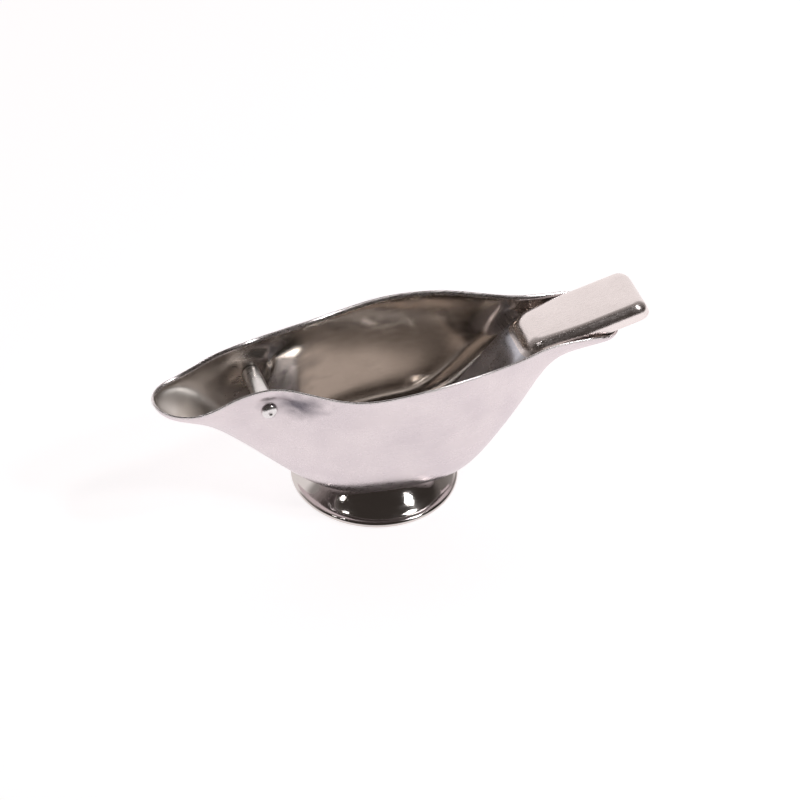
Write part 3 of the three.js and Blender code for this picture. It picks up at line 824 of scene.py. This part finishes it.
def make_handle():
    """The pressed channel: an outer and an inner skin that meet along the free edge."""
    outline = handle_outline()
    edge_steps = 12
    wall_steps = 44

    def rings(thickness):
        result = [[] for _ in range(edge_steps + wall_steps + 1)]
        for s, y, out_s, out_y in outline:
            edge = handle_edge(s)
            wall_s = s - out_s * thickness
            wall_y = y - out_y * thickness
            for k in range(edge_steps + 1):
                turn = math.pi / 2 * k / edge_steps
                inset = (edge - thickness) * (1 - math.sin(turn))
                drop = thickness + (edge - thickness) * (1 - math.cos(turn))
                result[k].append(handle_place(wall_s - out_s * inset, wall_y - out_y * inset, drop))
            bottom = wall_depth(wall_s, wall_y, SINK)
            for k in range(1, wall_steps + 1):
                depth = edge + (bottom - edge) * k / wall_steps
                result[edge_steps + k].append(handle_place(wall_s, wall_y, depth))
        return result

    outer = rings(0.0)
    inner = rings(SHEET)[::-1]
    every = outer + inner
    count = len(every[0])
    points = [p for ring in every for p in ring]
    faces = grid_faces(len(every), count, 0, closed=True)
    for ring in (0, len(every) - 1):
        first = ring * count
        middle = len(points)
        points.append(sum((points[first + c] for c in range(count)), Vector()) / count)
        faces += [(first + c, first + (c + 1) % count, middle) for c in range(count)]
    kink = HANDLE_START_Z - APRON_DEPTH
    front = HANDLE_START_X + APRON_FRONT
    panel, apron = 0, 1
    kinds = []
    for face in faces:
        top = max(points[corner].z for corner in face)
        rear = max(points[corner].x for corner in face)
        kinds.append(apron if top < kink and rear <= front else panel)
    return finish_mesh("handle_skin", points, faces, [panel_steel, apron_steel], kinds)


PIECES = (
    (make_bowl, "bowl", "boat", "bowl_steel"),
    (make_foot, "foot", "boat", "foot_steel"),
    (make_handle, "handle", "boat", "handle_steel"),
    (make_rivet, "rivet", "boat", "rivet_steel"),
    (make_sleeve, "crossbar_sleeve", "sleeve", "sleeve_steel"),
)
for make, node, body, slot in PIECES:
    piece = make()
    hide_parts(node)
    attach(piece, body)


# ---- floor, lights and camera ----
LAMP_DISTANCE = 1.25
OBJECT_MIDDLE = Vector((0, 0, 0.03))
FOOT_FRONT = FOOT_CENTRE + Vector((-0.022, -0.022, 0.004))
SOFTBOXES = (("right_low", 133, 48), ("right_high", 120, 63))
SNOOTS = (("left_low", -100, 50), ("left_high", -97, 67))


def plain_material(name, colour, roughness):
    """A matt paint whose tone varies by a hundredth."""
    patch_scale = 30
    darker = 0.99
    material, nodes, links, shader = node_tree(name)
    shader.inputs["Roughness"].default_value = roughness
    speckle = noise(nodes, links, straight_place(nodes, links, (1, 1, 1)), patch_scale, 2)
    tint = nodes.new("ShaderNodeMix")
    tint.data_type = "RGBA"
    tint.inputs["A"].default_value = (*colour, 1)
    tint.inputs["B"].default_value = (*[darker * c for c in colour], 1)
    links.new(speckle, tint.inputs["Factor"])
    links.new(tint.outputs["Result"], shader.inputs["Base Color"])
    return material


def make_floor():
    """A pale glowing table top, which leaves only a faint shadow under the object."""
    size = 0.5
    clearance = 0.0001
    mesh = bpy.data.meshes.new("floor")
    level = cad_low[2] - clearance
    corners = [(-size, -size, level), (size, -size, level), (size, size, level), (-size, size, level)]
    mesh.from_pydata(corners, [], [(0, 1, 2, 3)])
    material = plain_material("floor_paint", (0.5, 0.49, 0.495), 0.9)
    shader = material.node_tree.nodes["Principled BSDF"]
    shader.inputs["Emission Color"].default_value = (1.0, 0.975, 0.98, 1)
    shader.inputs["Emission Strength"].default_value = 0.8
    shader.inputs["Specular IOR Level"].default_value = 0.0
    mesh.materials.append(material)
    floor = bpy.data.objects.new("floor", mesh)
    bpy.context.scene.collection.objects.link(floor)


def away(side, height):
    """The direction to a lamp from its turn about +Z, measured from the rear, and its height."""
    turn, lift = math.radians(side), math.radians(height)
    return Vector((math.sin(turn) * math.cos(lift), math.cos(turn) * math.cos(lift), math.sin(lift)))


def hang_lamp(light, direction, aim, centre):
    """A lamp at the common distance from a centre, turned towards its aim."""
    lamp = bpy.data.objects.new(light.name, light)
    lamp.location = centre + direction * LAMP_DISTANCE
    lamp.rotation_euler = (aim - lamp.location).to_track_quat("-Z", "Y").to_euler()
    bpy.context.scene.collection.objects.link(lamp)


def soft_light(name, direction, aim):
    """A square softbox, whose distance is measured from the frame's origin."""
    width = 0.17
    light = bpy.data.lights.new(name, "AREA")
    light.shape = "RECTANGLE"
    light.size = width
    light.size_y = width
    light.energy = 2.2
    hang_lamp(light, direction, aim, Vector((0, 0, 0)))


def snooted_light(name, direction, aim):
    """A round lamp whose snoot lets it reach only the foot."""
    light = bpy.data.lights.new(name, "SPOT")
    light.spot_size = math.radians(3.4)
    light.spot_blend = 0.3
    light.shadow_soft_size = 0.15
    light.energy = 18.0
    hang_lamp(light, direction, aim, aim)


def make_world():
    """A studio with a pale wall behind, grey sides, and dark in front. The backdrop is near white."""
    world = bpy.data.worlds.new("studio")
    bpy.context.scene.world = world
    world.use_nodes = True
    nodes = world.node_tree.nodes
    links = world.node_tree.links
    place = nodes.new("ShaderNodeTexCoord")
    parts = nodes.new("ShaderNodeSeparateXYZ")
    links.new(place.outputs["Generated"], parts.inputs["Vector"])
    walls = nodes.new("ShaderNodeValToRGB")
    walls.color_ramp.interpolation = "EASE"
    tones = (
        (-0.08, (0.045, 0.038, 0.034)), (0.16, (0.22, 0.20, 0.19)),
        (0.48, (0.36, 0.34, 0.33)), (0.64, (1.0, 0.965, 0.96)),
    )
    marks = walls.color_ramp.elements
    while len(marks) < len(tones):
        marks.new(0.5)
    for mark, (back, tone) in zip(marks, tones):
        mark.position = back / 2 + 0.5
        mark.color = (*tone, 1)
    links.new(map_range(nodes, links, parts.outputs["Y"], -1, 1, 0, 1), walls.inputs["Fac"])
    seen = nodes.new("ShaderNodeLightPath")
    backdrop = nodes.new("ShaderNodeMix")
    backdrop.data_type = "RGBA"
    backdrop.inputs["B"].default_value = (1.0, 0.985, 0.99, 1)
    links.new(seen.outputs["Is Camera Ray"], backdrop.inputs["Factor"])
    links.new(walls.outputs["Color"], backdrop.inputs["A"])
    background = nodes["Background"]
    background.inputs["Strength"].default_value = 1.0
    links.new(backdrop.outputs["Result"], background.inputs["Color"])


def make_camera():
    """Seen from in front and above, a little to the spout's side, through a long lens."""
    turn = math.radians(21.2)
    drop = math.radians(40.7)
    roll = math.radians(2.5)
    distance = 1.525
    forward = Vector((math.sin(turn) * math.cos(drop), math.cos(turn) * math.cos(drop), -math.sin(drop)))
    level_right = Vector((math.cos(turn), -math.sin(turn), 0))
    level_up = level_right.cross(forward)
    right = level_right * math.cos(roll) + level_up * math.sin(roll)
    up = level_up * math.cos(roll) - level_right * math.sin(roll)
    aim_right, aim_up = 0.0110, 0.0305
    aim = FOOT_CENTRE + right * aim_right + up * aim_up
    data = bpy.data.cameras.new("camera")
    data.lens = 162
    data.sensor_width = 36
    data.clip_end = 20
    camera = bpy.data.objects.new("camera", data)
    place = aim - forward * distance
    camera.matrix_world = Matrix((
        (right.x, up.x, -forward.x, place.x),
        (right.y, up.y, -forward.y, place.y),
        (right.z, up.z, -forward.z, place.z),
        (0, 0, 0, 1),
    ))
    bpy.context.scene.collection.objects.link(camera)
    bpy.context.scene.camera = camera


make_floor()
make_world()
for name, side, height in SOFTBOXES:
    soft_light(name, away(side, height), OBJECT_MIDDLE)
for name, side, height in SNOOTS:
    snooted_light(name, away(side, height), FOOT_FRONT)
make_camera()
bpy.context.scene.view_settings.view_transform = "Standard"
